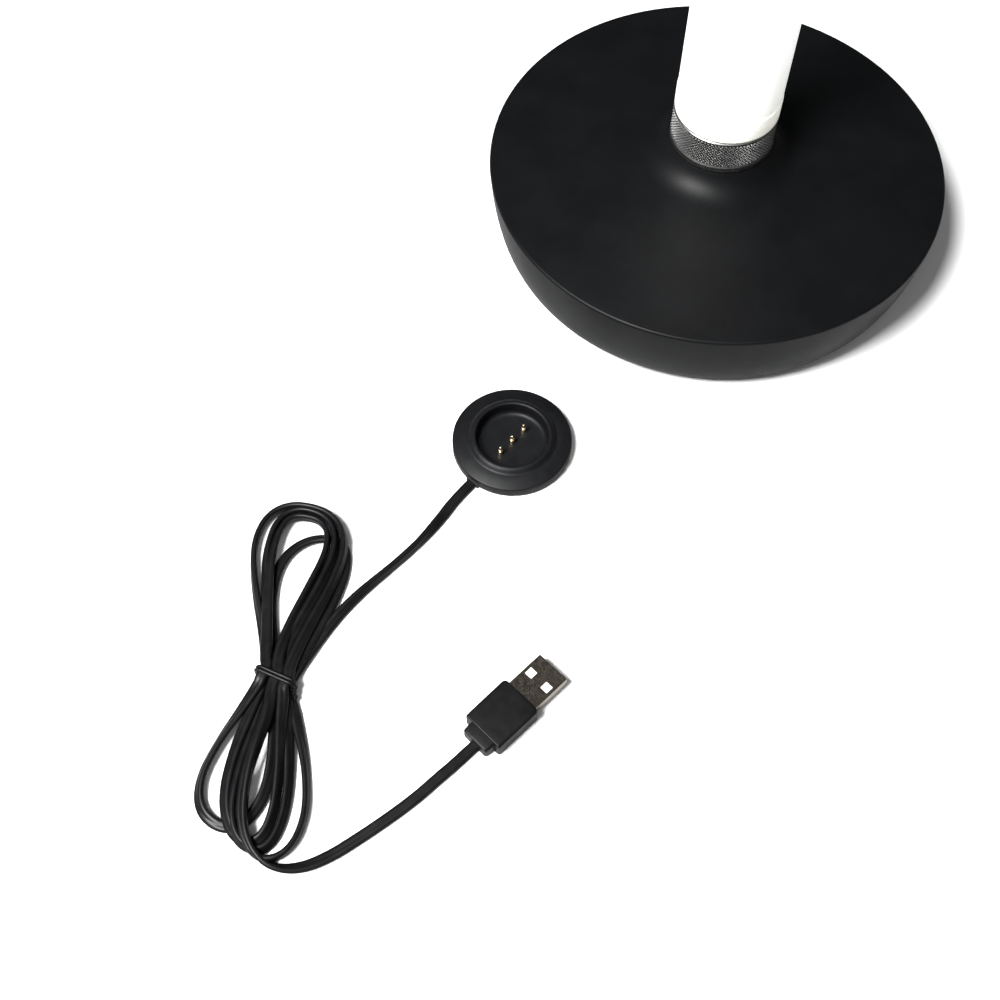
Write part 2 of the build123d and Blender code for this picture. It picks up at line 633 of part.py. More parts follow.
with BuildPart() as hank_tie:
    with BuildSketch(tie):
        Rectangle(TIE_W, TIE_L)
    extrude(amount=TIE_H)
    fillet(hank_tie.edges().filter_by(Axis((0, 0, 0), tie.y_dir)), 0.6)
    with BuildSketch(tie.offset(CORE_Z)):
        Rectangle(CORE_W, TIE_L)
    extrude(amount=CORE_H, mode=Mode.SUBTRACT)
keep(hank_tie.part, "hank_tie")

# ---- USB-A plug -----------------------------------------------------------------------
shell_middle = OVER_H / 2
with BuildPart() as plug_overmould:
    with BuildSketch(plug):
        with Locations((OVER_L / 2, 0)):
            Rectangle(OVER_L, OVER_W)
    extrude(amount=OVER_H)
    fillet(plug_overmould.edges(), OVER_ROUND)
    with BuildSketch(plug.offset(shell_middle - SHELL_H / 2)):
        with Locations((OVER_L - SHELL_IN / 2, 0)):
            Rectangle(SHELL_IN, SHELL_W)
    extrude(amount=SHELL_H, mode=Mode.SUBTRACT)
keep(plug_overmould.part, "plug_overmould")

with BuildPart() as plug_strain_relief:
    with BuildSketch(plug):
        with Locations((-RELIEF_L / 2, 0)):
            Rectangle(RELIEF_L, RELIEF_W)
    extrude(amount=RELIEF_H)
    fillet(plug_strain_relief.edges().filter_by(Axis.Z), 0.8)
keep(plug_strain_relief.part, "plug_strain_relief")

shell_low = shell_middle - SHELL_H / 2
with BuildPart() as plug_shell:
    with BuildSketch(plug.offset(shell_low)):
        with Locations((OVER_L + (SHELL_L - SHELL_IN) / 2, 0)):
            Rectangle(SHELL_L + SHELL_IN, SHELL_W)
    extrude(amount=SHELL_H)
    fillet(plug_shell.edges().filter_by(lambda e: abs(e.tangent_at(0.5).dot(plug.x_dir)) > 0.9),
           0.55)
    with BuildSketch(plug.offset(shell_low + SHELL_T)):
        with Locations((OVER_L + (SHELL_L - SHELL_IN) / 2, 0)):
            Rectangle(SHELL_L + SHELL_IN, SHELL_W - 2 * SHELL_T)
    extrude(amount=SHELL_H - 2 * SHELL_T, mode=Mode.SUBTRACT)
    with BuildSketch(plug.offset(shell_low)):
        with Locations((WINDOW_U, WINDOW_V), (WINDOW_U, -WINDOW_V)):
            Rectangle(WINDOW, WINDOW)
    extrude(amount=SHELL_H, mode=Mode.SUBTRACT)
keep(plug_shell.part, "plug_shell")

tongue_top = shell_low + SHELL_H - SHELL_T - 0.05
with BuildPart() as plug_tongue:
    with BuildSketch(plug.offset(tongue_top)):
        with Locations((OVER_L + (SHELL_L - SHELL_IN) / 2 - 0.4, 0)):
            Rectangle(SHELL_L + SHELL_IN - 0.8, TONGUE_W)
    extrude(amount=-TONGUE_T)
keep(plug_tongue.part, "plug_tongue")

with BuildPart() as plug_contacts:
    with BuildSketch(plug.offset(tongue_top - TONGUE_T)):
        with Locations((OVER_L + 6.5, 3.5), (OVER_L + 6.5, 1.0), (OVER_L + 6.5, -1.0),
                       (OVER_L + 6.5, -3.5)):
            Rectangle(8.5, 1.0)
    extrude(amount=-0.2)
keep(plug_contacts.part, "plug_contacts")
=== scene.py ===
"""Looks for the rechargeable light tube and its charging lead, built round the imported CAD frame.

Everything is in metres in the row frame: the origin is on the lamp's axis, on the table, and +Z is
up. Shapes are worked out in millimetres, and make_piece() turns them into metres.
"""
import json
import math

import bpy
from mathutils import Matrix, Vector


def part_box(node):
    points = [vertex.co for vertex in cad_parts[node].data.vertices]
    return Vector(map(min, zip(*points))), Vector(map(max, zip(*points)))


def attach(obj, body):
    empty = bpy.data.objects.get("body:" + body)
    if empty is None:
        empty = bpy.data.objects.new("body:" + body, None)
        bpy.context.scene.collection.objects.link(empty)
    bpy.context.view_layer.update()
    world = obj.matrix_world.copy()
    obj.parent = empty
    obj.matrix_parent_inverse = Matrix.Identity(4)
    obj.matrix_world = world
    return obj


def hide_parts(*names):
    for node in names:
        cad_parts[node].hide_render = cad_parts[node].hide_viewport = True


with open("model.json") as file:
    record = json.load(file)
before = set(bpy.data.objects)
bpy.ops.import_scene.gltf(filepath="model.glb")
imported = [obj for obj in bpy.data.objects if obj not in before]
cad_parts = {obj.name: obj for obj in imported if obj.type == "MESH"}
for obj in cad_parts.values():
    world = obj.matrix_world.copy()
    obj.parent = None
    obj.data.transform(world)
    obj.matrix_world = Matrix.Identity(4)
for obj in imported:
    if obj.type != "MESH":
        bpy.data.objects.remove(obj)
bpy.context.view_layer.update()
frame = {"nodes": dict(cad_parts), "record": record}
MM = 0.001

# ---- sizes that scene.py shares with the CAD source, in millimetres ---------------------
CORD_W, CORD_T = 3.8, 1.9
TIE_X, TIE_Y, TIE_ANGLE = -149.7, -190.6, -24.0
PUCK_X, PUCK_Y = -75.0, -102.1
PLUG_X, PLUG_Y, PLUG_ANGLE = -84.6, -209.2, 44.5
BASE_R, RIM_Z, RIM_ROUND = 83.0, 33.0, 1.0
RIM_DROP = 0.2              # the rim's round starts this far below RIM_Z
BASE_FOOT = (73.5, 2.2)
FLARE_START, FLARE_R, FLARE_STEEP = (29.0, 38.4), 13.0, 65.0
SEAT_R, SEAT_Z = 18.4, 46.0
OVER_L, OVER_W, OVER_H, OVER_ROUND = 17.2, 15.0, 7.6, 0.95
RELIEF_L, RELIEF_W, RELIEF_H = 3.4, 10.4, 5.8
KNURL_Z, KNURL_TOP = 49.0, 58.8
TUBE_R, TUBE_BORE, TUBE_TOP = 18.1, 16.3, 328.0


def heading(degrees):
    """The unit direction on the table at that angle."""
    return Vector((math.cos(math.radians(degrees)), math.sin(math.radians(degrees)), 0.0))


# ---- camera, which comes first -----------------------------------------------------------
CAMERA_PLACE = (-0.0792, -0.3422, 0.3879)
CAMERA_DOWN = 60.64        # degrees below the horizon, looking along +Y
CAMERA_LENS = 46.8


def make_camera():
    data = bpy.data.cameras.new("camera")
    data.lens = CAMERA_LENS
    data.sensor_width = 36.0
    data.clip_start = 0.01
    data.clip_end = 50.0
    camera = bpy.data.objects.new("camera", data)
    camera.location = CAMERA_PLACE
    camera.rotation_euler = (math.radians(90.0 - CAMERA_DOWN), 0.0, 0.0)
    bpy.context.scene.collection.objects.link(camera)
    bpy.context.scene.camera = camera


# ---- materials ---------------------------------------------------------------------------
class Finish:
    """A material whose nodes are added one at a time to a Principled shader."""

    def __init__(self, name, color, roughness, metallic=0.0, **sockets):
        self.material = bpy.data.materials.new(name)
        self.material.use_nodes = True
        self.tree = self.material.node_tree
        self.shader = self.tree.nodes["Principled BSDF"]
        self.color, self.roughness = color, roughness
        self.shader.inputs["Base Color"].default_value = (*color, 1.0)
        self.shader.inputs["Roughness"].default_value = roughness
        self.shader.inputs["Metallic"].default_value = metallic
        for socket, value in sockets.items():
            self.shader.inputs[socket.replace("_", " ")].default_value = value
        self.place = self.tree.nodes.new("ShaderNodeTexCoord").outputs["Object"]
        self.bumps = None

    def stretched(self, scale):
        node = self.tree.nodes.new("ShaderNodeMapping")
        node.inputs["Scale"].default_value = scale
        self.tree.links.new(self.place, node.inputs["Vector"])
        return node.outputs["Vector"]

    def noise(self, size_mm, detail=3.0, stretch=(1.0, 1.0, 1.0)):
        """A noise whose blobs are about size_mm across."""
        node = self.tree.nodes.new("ShaderNodeTexNoise")
        node.inputs["Scale"].default_value = 1000.0 / size_mm
        node.inputs["Detail"].default_value = detail
        self.tree.links.new(self.stretched(stretch), node.inputs["Vector"])
        return node.outputs["Fac"]

    def ranged(self, value, low, high, start=0.3, end=0.7):
        node = self.tree.nodes.new("ShaderNodeMapRange")
        node.inputs["From Min"].default_value = start
        node.inputs["From Max"].default_value = end
        node.inputs["To Min"].default_value = low
        node.inputs["To Max"].default_value = high
        self.tree.links.new(value, node.inputs["Value"])
        return node.outputs["Result"]

    def ramp(self, value, *stops):
        node = self.tree.nodes.new("ShaderNodeValToRGB")
        elements = node.color_ramp.elements
        while len(elements) < len(stops):
            elements.new(0.5)
        for element, (at, color) in zip(elements, stops):
            element.position = at
            element.color = (*color, 1.0)
        self.tree.links.new(value, node.inputs["Fac"])
        return node.outputs["Color"]

    def vary_color(self, value, amount):
        """Makes the colour lighter and darker by that share."""
        dark = tuple(c * (1 - amount) for c in self.color)
        light = tuple(min(1.0, c * (1 + amount)) for c in self.color)
        self.tree.links.new(self.ramp(value, (0.3, dark), (0.7, light)),
                            self.shader.inputs["Base Color"])
        return self

    def vary_roughness(self, value, amount):
        self.tree.links.new(self.ranged(value, self.roughness - amount, self.roughness + amount),
                            self.shader.inputs["Roughness"])
        return self

    def bump(self, value, height_mm, strength=1.0):
        node = self.tree.nodes.new("ShaderNodeBump")
        node.inputs["Distance"].default_value = height_mm * MM
        node.inputs["Strength"].default_value = strength
        self.tree.links.new(value, node.inputs["Height"])
        if self.bumps is not None:
            self.tree.links.new(self.bumps, node.inputs["Normal"])
        self.bumps = node.outputs["Normal"]
        self.tree.links.new(self.bumps, self.shader.inputs["Normal"])
        return self


def base_coat():
    """Satin black powder coat: a fine orange peel and faint handling marks."""
    f = Finish("base_coat", (0.0029, 0.0031, 0.0035), 0.44, IOR=1.225)
    f.vary_color(f.noise(14.0), 0.18)
    f.vary_roughness(f.noise(22.0, 5.0), 0.045)
    f.bump(f.noise(0.55, 2.0), 0.012, 0.6)
    f.bump(f.noise(2.4, 2.0), 0.02, 0.35)
    return f.material


def knurled_steel():
    f = Finish("knurled_steel", (0.21, 0.21, 0.207), 0.38, 1.0)
    f.vary_color(f.noise(9.0), 0.12)
    f.vary_roughness(f.noise(1.5), 0.05)
    return f.material


def opal():
    """Opal acrylic lit from inside, a little dimmer and warmer at its bottom edge."""
    f = Finish("opal_diffuser", (0.93, 0.93, 0.9), 0.34, IOR=1.49)
    split = f.tree.nodes.new("ShaderNodeSeparateXYZ")
    f.tree.links.new(f.place, split.inputs["Vector"])
    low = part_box("diffuser_tube")[0].z
    glow = f.ramp(f.ranged(split.outputs["Z"], 0.0, 1.0, low, low + 0.03),
                  (0.0, (0.60, 0.58, 0.49)), (0.16, (0.72, 0.71, 0.64)),
                  (0.5, (0.86, 0.86, 0.83)), (1.0, (1.0, 1.0, 0.985)))
    f.tree.links.new(glow, f.shader.inputs["Emission Color"])
    f.shader.inputs["Emission Strength"].default_value = 0.62
    f.vary_roughness(f.noise(9.0), 0.03)
    f.bump(f.noise(0.4), 0.004, 0.3)
    return f.material


def moulded(name, color, roughness, grain_mm=0.35, depth_mm=0.008, tone=0.2, ior=1.45):
    """Moulded plastic or rubber with a fine grain."""
    f = Finish(name, color, roughness, IOR=ior)
    f.vary_color(f.noise(6.0), tone)
    f.vary_roughness(f.noise(3.0, 4.0), 0.05)
    f.bump(f.noise(grain_mm, 2.0), depth_mm, 0.6)
    return f.material


def metal(name, color, roughness, tone=0.12, brush=(1.0, 1.0, 1.0), depth_mm=0.003):
    """Metal with faint streaks along the stretched direction."""
    f = Finish(name, color, roughness, 1.0)
    f.vary_color(f.noise(4.0, 3.0, brush), tone)
    f.vary_roughness(f.noise(1.2, 4.0, brush), 0.06)
    f.bump(f.noise(0.5, 2.0, brush), depth_mm, 0.5)
    return f.material


FINISHES = {
    "base_coat": base_coat(),
    "knurled_steel": knurled_steel(),
    "opal_diffuser": opal(),
    "aluminium": metal("aluminium", (0.6, 0.6, 0.61), 0.32, brush=(1.0, 1.0, 0.1)),
    "zinc_steel": metal("zinc_steel", (0.46, 0.46, 0.44), 0.36),
    "plate_black": moulded("plate_black", (0.013, 0.013, 0.014), 0.55, 0.6, 0.015),
    "rubber_black": moulded("rubber_black", (0.016, 0.016, 0.016), 0.75, 0.5, 0.02),
    "battery_wrap": moulded("battery_wrap", (0.03, 0.12, 0.36), 0.3, 2.0, 0.01),
    "abs_black": moulded("abs_black", (0.012, 0.012, 0.013), 0.5),
    "white_plastic": moulded("white_plastic", (0.8, 0.8, 0.78), 0.45, tone=0.04),
    "board_green": moulded("board_green", (0.01, 0.1, 0.04), 0.4, 1.0, 0.01),
    "board_white": moulded("board_white", (0.82, 0.82, 0.8), 0.4, 1.0, 0.01, 0.04),
    "chip_black": moulded("chip_black", (0.012, 0.012, 0.012), 0.5),
    "led_phosphor": moulded("led_phosphor", (0.85, 0.68, 0.12), 0.35, 0.5, 0.01, 0.06),
    "gold_plate": metal("gold_plate", (0.95, 0.80, 0.55), 0.25, 0.05),
    "nickel_shell": metal("nickel_shell", (0.42, 0.37, 0.31), 0.2, 0.06, depth_mm=0.0006),
    "magnet": metal("magnet", (0.5, 0.5, 0.5), 0.25),
    "cord_jacket": moulded("cord_jacket", (0.0042, 0.0042, 0.0046), 0.40, 0.5, 0.008, 0.2, 1.25),
    "puck_abs": moulded("puck_abs", (0.0038, 0.0040, 0.0046), 0.46, 0.3, 0.005, 0.1, 1.26),
}


def finish_cad_nodes():
    """Gives each CAD node the finish of its slot in the record."""
    for part in frame["record"]["subparts"]:
        slots = frame["nodes"][part["node"]].data.materials
        slots.clear()
        slots.append(FINISHES[part["material_slot"]])


# ---- mesh helpers ------------------------------------------------------------------------
def make_piece(name, points, faces, slot, body, replaced=(), sharp=35.0):
    """A mesh object in the row frame. The points are in millimetres."""
    mesh = bpy.data.meshes.new(name)
    mesh.from_pydata([Vector(p) * MM for p in points], [], faces)
    mesh.validate()
    mesh.shade_smooth()
    mesh.set_sharp_from_angle(angle=math.radians(sharp))
    mesh.materials.append(FINISHES[slot])
    piece = bpy.data.objects.new(name, mesh)
    bpy.context.scene.collection.objects.link(piece)
    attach(piece, body)
    if replaced:
        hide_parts(*replaced)
    return piece


def joined_rings(rings, closed_loop=False):
    """Faces between rings of equally many points; the first and last ring are capped or joined."""
    n = len(rings[0])
    points = [p for ring in rings for p in ring]
    faces = []
    count = len(rings)
    for k in range(count if closed_loop else count - 1):
        a, b = k * n, (k + 1) % count * n
        faces += [(a + i, a + (i + 1) % n, b + (i + 1) % n, b + i) for i in range(n)]
    if not closed_loop:
        faces.append(tuple(reversed(range(n))))
        faces.append(tuple(range((count - 1) * n, count * n)))
    return points, faces


def turned(profile, segments, centre=(0.0, 0.0)):
    """A closed profile of (radius, height) turned about an upright axis.

    A point of the profile that lies on the axis becomes a single vertex.
    """
    points, rings = [], []
    for radius, height in profile:
        if radius < 1e-9:
            rings.append([len(points)] * segments)
            points.append((*centre, height))
            continue
        rings.append([len(points) + i for i in range(segments)])
        for i in range(segments):
            angle = 2 * math.pi * i / segments
            points.append((centre[0] + radius * math.cos(angle),
                           centre[1] + radius * math.sin(angle), height))
    faces = []
    for low, high in zip(rings, rings[1:] + rings[:1]):
        for i in range(segments):
            j = (i + 1) % segments
            face = tuple(dict.fromkeys((low[i], low[j], high[j], high[i])))
            if len(face) > 2:
                faces.append(face)
    return points, faces


def arc(centre, radius, start, end, steps):
    """Points on an arc, by angle in degrees."""
    return [(centre[0] + radius * math.cos(math.radians(start + (end - start) * k / steps)),
             centre[1] + radius * math.sin(math.radians(start + (end - start) * k / steps)))
            for k in range(steps + 1)]


def bezier(a, b, c, d, steps):
    """Points on a cubic curve from a to d, without a."""
    made = []
    for k in range(1, steps + 1):
        t = k / steps
        w = ((1 - t) ** 3, 3 * (1 - t) ** 2 * t, 3 * (1 - t) * t * t, t ** 3)
        made.append(tuple(sum(v * p[i] for v, p in zip(w, (a, b, c, d))) for i in (0, 1)))
    return made


# ---- the flat cord -----------------------------------------------------------------------
# The free stretches are lists of points, in millimetres: x, y, lift off the table, roll in degrees.
# Roll 0 lies flat, and 90 stands on edge.
PUCK_LEAD = [(-88.9, -117.8, 0.0, 0), (-94.2, -123.8, 0.0, 0), (-99.6, -132.6, 0.0, 35),
             (-106.5, -141.8, 0.0, 75), (-115.0, -150.5, 0.0, 80), (-123.8, -158.7, 0.0, 60),
             (-131.0, -166.6, 0.0, 30), (-137.2, -175.6, 0.0, 5)]
PLUG_LEAD = [(-150.4, -203.0, 4.4, 40), (-153.4, -213.0, 4.0, 60), (-155.4, -223.0, 3.4, 85),
             (-155.8, -232.0, 2.6, 90), (-154.6, -239.5, 2.2, 90), (-151.0, -246.0, 1.6, 85),
             (-145.4, -249.4, 0.6, 60), (-138.0, -249.2, 0.0, 25), (-130.0, -245.9, 0.0, 5),
             (-121.5, -240.4, 0.0, 0), (-112.4, -234.0, 0.0, 0), (-104.4, -227.8, 0.0, 0),
             (-98.2, -222.0, 0.0, 0), (-92.7, -217.2, 0.0, 0), (-86.8, -211.4, 0.0, 0)]

# Where each strand crosses the tie, in millimetres: across it, and the strand's height.
LEFT_SLOTS = [(-0.2, 1.75), (-4.0, 1.75), (-4.0, 3.65), (-4.0, 5.55)]
RIGHT_SLOTS = [(3.8, 1.75), (3.8, 3.65), (3.8, 5.55), (0.0, 3.65), (0.2, 5.55)]

# One row for each loop of the hank, in winding order: where it points in degrees, its length, its
# width on the side that is wound first, its width on the other, how far its tip leans, how pointed
# it is at the tie, and its lifts and rolls on the first side, at the tip and on the second side.
BOTTOM_LOOPS = [
    (-90.0, 57.0, -11.5, -9.0, -1.5, 1.2, (0.0, 0.6, 2.0), (90, 90, 75)),
    (-88.5, 54.0, -6.5, -10.5, 2.5, 1.7, (0.0, 0.0, 1.9), (60, 60, 45)),
    (-99.0, 52.0, -7.0, -9.0, -4.0, 1.7, (1.9, 0.4, 1.9), (80, 30, 35)),
    (-104.0, 48.5, -9.0, -12.0, 1.0, 1.7, (0.0, 0.0, 0.0), (40, 10, 80)),
]
TOP_LOOPS = [
    (75.5, 53.5, -14.5, -8.0, 2.0, 1.5, (0.0, 0.0, 0.0), (15, 40, 15)),
    (89.2, 63.8, -12.9, -18.7, 0.5, 2.1, (0.0, 1.0, 2.2), (90, 90, 80)),
    (89.2, 62.0, -9.3, -15.0, 2.0, 2.5, (0.0, 1.0, 2.2), (70, 90, 55)),
    (95.8, 58.8, -5.2, -14.2, 7.5, 2.9, (1.9, 1.0, 2.2), (25, 90, 85)),
]
LOOP_STEPS = 12            # twelve steps to a loop, so over twenty points to a turn
TIE_REACH = 2.5            # the strands run straight through the tie this far each way


def half_height(roll):
    """How far a strand reaches above its own middle at that roll."""
    return (CORD_W - CORD_T) / 2 * abs(math.sin(math.radians(roll))) + CORD_T / 2


def tie_point(slot, along):
    across, height = slot
    place = (Vector((TIE_X, TIE_Y, 0)) + heading(TIE_ANGLE) * across
             + heading(TIE_ANGLE + 90) * along)
    return (place.x, place.y, height, 0.0)


def loop_points(spec, slot_in, slot_out):
    """The points of one teardrop loop of the hank, from the tie round its tip and back."""
    aim, length, first, second, lean, sharp, lifts, rolls = spec
    out, across, tie_way = heading(aim), heading(aim - 90), heading(TIE_ANGLE)
    peak = max(math.sin(t / 100) * math.sin(t / 200) ** sharp for t in range(10, 310))
    made = []
    for k in range(1, LOOP_STEPS):
        turn = 2 * math.pi * k / LOOP_STEPS
        share = (1 - math.cos(turn)) / 2
        width = math.sin(turn) * math.sin(turn / 2) ** sharp / peak
        wound_first = k <= LOOP_STEPS / 2
        slot = slot_in if wound_first else slot_out
        side = (first if wound_first else second) * width
        fade = (1 - share) ** 2
        place = (Vector((TIE_X, TIE_Y, 0)) + out * (length * share)
                 + across * (side + lean * share * share) + tie_way * (slot[0] * fade))
        near_tip = max(0.0, 1 - abs(turn - math.pi) / (math.pi / 2))
        end = 0 if wound_first else 2
        roll = rolls[1] * near_tip + rolls[end] * (1 - near_tip)
        roll *= 1 - fade
        lift = lifts[1] * near_tip + lifts[end] * (1 - near_tip)
        height = (half_height(roll) + lift) * (1 - fade) + slot[1] * fade
        made.append((place.x, place.y, height, roll))
    return made


def cord_route():
    """All the cord's points: the puck's lead, four turns of the hank, and the plug's lead."""
    def on_table(points):
        return [(x, y, lift + half_height(roll), roll) for x, y, lift, roll in points]

    route = on_table(PUCK_LEAD)
    for turn, (bottom, top) in enumerate(zip(BOTTOM_LOOPS, TOP_LOOPS)):
        down, up = RIGHT_SLOTS[turn], LEFT_SLOTS[turn]
        route += [tie_point(down, TIE_REACH), tie_point(down, -TIE_REACH)]
        route += loop_points(bottom, down, up)
        route += [tie_point(up, -TIE_REACH), tie_point(up, TIE_REACH)]
        route += loop_points(top, up, RIGHT_SLOTS[turn + 1])
    route += [tie_point(RIGHT_SLOTS[-1], TIE_REACH), tie_point(RIGHT_SLOTS[-1], -TIE_REACH)]
    return route + on_table(PLUG_LEAD)


def spline_line(route, resolution=10):
    """The smooth line through the route, read from a NURBS curve, with each point's roll."""
    curve = bpy.data.curves.new("route", "CURVE")
    curve.dimensions = "3D"
    curve.resolution_u = resolution
    spline = curve.splines.new("NURBS")
    spline.points.add(len(route) - 1)
    for point, (x, y, z, _) in zip(spline.points, route):
        point.co = (x * MM, y * MM, z * MM, 1.0)
    spline.order_u = 3
    spline.use_endpoint_u = True
    holder = bpy.data.objects.new("route", curve)
    mesh = bpy.data.meshes.new_from_object(holder)
    line = [v.co.copy() / MM for v in mesh.vertices]
    bpy.data.meshes.remove(mesh)
    bpy.data.curves.remove(curve)
    spans = len(route) - 2
    rolls = []
    for k in range(len(line)):
        # the control points lie half a span apart from the knots
        at = spans * k / (len(line) - 1) + 0.5
        i = min(max(int(at), 0), len(route) - 2)
        share = min(max(at - i, 0.0), 1.0)
        rolls.append(route[i][3] * (1 - share) + route[i + 1][3] * share)
    return line, rolls


def cord_section():
    """The two-core cord's section: round edges and a shallow groove down each wide face."""
    half, edge, groove = (CORD_W - CORD_T) / 2, CORD_T / 2, 0.08
    right = arc((half, 0.0), edge, -80, 80, 6)
    top = [(half * x, edge * 0.99 - groove * math.exp(-(x / 0.22) ** 2))
           for x in (0.62, 0.25, 0.0, -0.25, -0.62)]
    left = [(-x, -y) for x, y in right]
    bottom = [(-x, -y) for x, y in top]
    return right + top + left + bottom


def swept(line, section, rolls):
    """Rings of the section along the line, each rolled about it."""
    rings = []
    for k, place in enumerate(line):
        way = (line[min(k + 1, len(line) - 1)] - line[max(k - 1, 0)]).normalized()
        side = way.cross(Vector((0, 0, 1))).normalized()
        up = side.cross(way)
        roll = math.radians(rolls[k])
        wide = side * math.cos(roll) + up * math.sin(roll)
        thin = up * math.cos(roll) - side * math.sin(roll)
        rings.append([place + wide * x + thin * y for x, y in section])
    return rings


def thinned_line(line, rolls, gap):
    """The line without points that are nearer than gap to the one before."""
    kept = [0]
    for k in range(1, len(line)):
        if (line[k] - line[kept[-1]]).length >= gap:
            kept.append(k)
    if kept[-1] != len(line) - 1:
        kept[-1] = len(line) - 1
    return [line[k] for k in kept], [rolls[k] for k in kept]


def make_cord():
    line, rolls = thinned_line(*spline_line(cord_route()), gap=0.7)
    points, faces = joined_rings(swept(line, cord_section(), rolls))
    cord = make_piece("flat_cord", points, faces, "cord_jacket", "charging_lead",
                      ("cord_puck_lead", "cord_hank", "cord_plug_lead"), sharp=50.0)
    return cord, line


def make_tie():
    """The twist tie: two wraps round the strands and its twisted ends at the right."""
    centre = Vector((TIE_X, TIE_Y, 0))
    across, along, up = heading(TIE_ANGLE), heading(TIE_ANGLE + 90), Vector((0, 0, 1))
    half_w, low, high, corner, wire = 6.6, 0.75, 6.85, 1.7, 0.62
    middle = (low + high) / 2
    half_h = (high - low) / 2
    corners = (arc((half_w - corner, half_h - corner), corner, 0, 90, 6)
               + arc((corner - half_w, half_h - corner), corner, 90, 180, 6)
               + arc((corner - half_w, corner - half_h), corner, 180, 270, 6)
               + arc((half_w - corner, corner - half_h), corner, 270, 360, 6))
    rings_points, rings_faces = [], []

    def add_tube(line, loop):
        rings = []
        for place, way in line:
            side = way.cross(along).normalized()
            over = way.cross(side)
            rings.append([place + (side * math.cos(a) + over * math.sin(a)) * wire
                          for a in (2 * math.pi * i / 12 for i in range(12))])
        points, faces = joined_rings(rings, closed_loop=loop)
        start = len(rings_points)
        rings_points.extend(points)
        rings_faces.extend(tuple(i + start for i in face) for face in faces)

    for shift in (-0.62, 0.55):
        line = []
        for k, (u, v) in enumerate(corners):
            before, after = corners[k - 1], corners[(k + 1) % len(corners)]
            way = across * (after[0] - before[0]) + up * (after[1] - before[1])
            slant = 0.18 * math.sin(2 * math.pi * k / len(corners))
            line.append((centre + across * u + up * (v + middle) + along * (shift + slant),
                         way.normalized()))
        add_tube(line, True)
    for phase in (0.0, math.pi):
        line = []
        for k in range(25):
            turn = phase + 2 * math.pi * 1.25 * k / 24
            reach = 0.16 * k
            place = (centre + across * (half_w - 0.3 + reach * 0.55) - along * (0.2 + reach * 0.8)
                     + up * (4.9 - 0.1 * k)
                     + across * 0.5 * math.cos(turn) + up * 0.5 * math.sin(turn))
            line.append((place, (across * 0.5 - along * 0.8 - up * 0.4).normalized()))
        add_tube(line, False)
    return make_piece("twist_tie", rings_points, rings_faces, "cord_jacket", "charging_lead",
                      ("hank_tie",))


# ---- base, collar and light tube -----------------------------------------------------------
def make_base():
    """The base's shell: a bowl side, a crisp rim, a shallow cone and a trumpet up to the collar."""
    slope = math.degrees(math.atan2(FLARE_START[1] - RIM_Z, BASE_R - FLARE_START[0]))
    rim_start = RIM_Z - RIM_DROP
    side = [BASE_FOOT] + bezier(BASE_FOOT, (81.0, 3.0), (82.7, 29.0), (BASE_R, rim_start), 24)
    rim = arc((BASE_R - RIM_ROUND, rim_start), RIM_ROUND, 0, 90 - slope, 10)[1:]
    flare_centre = (FLARE_START[0] + FLARE_R * math.sin(math.radians(slope)),
                    FLARE_START[1] + FLARE_R * math.cos(math.radians(slope)))
    cone = [(rim[-1][0] + (FLARE_START[0] - rim[-1][0]) * t,
             rim[-1][1] + (FLARE_START[1] - rim[-1][1]) * t) for t in (0.25, 0.5, 0.75)]
    flare = arc(flare_centre, FLARE_R, 270 - slope, 270 - FLARE_STEEP, 18)
    neck = [(SEAT_R, SEAT_Z), (14.0, SEAT_Z), (14.0, 56.2), (13.2, 56.2), (13.2, 57.2),
            (14.0, 57.2), (14.0, 57.6), (11.6, 57.6), (11.6, 34.0)]
    hollow = [(24.0, 34.0), (78.0, 28.6), (77.4, 18.0), (73.0, 9.0), (67.6, 5.0), (67.6, 2.2)]
    points, faces = turned(side + rim + cone + flare + neck + hollow, 256)
    make_piece("base_shell", points, faces, "base_coat", "base", ("base_housing",), sharp=40.0)


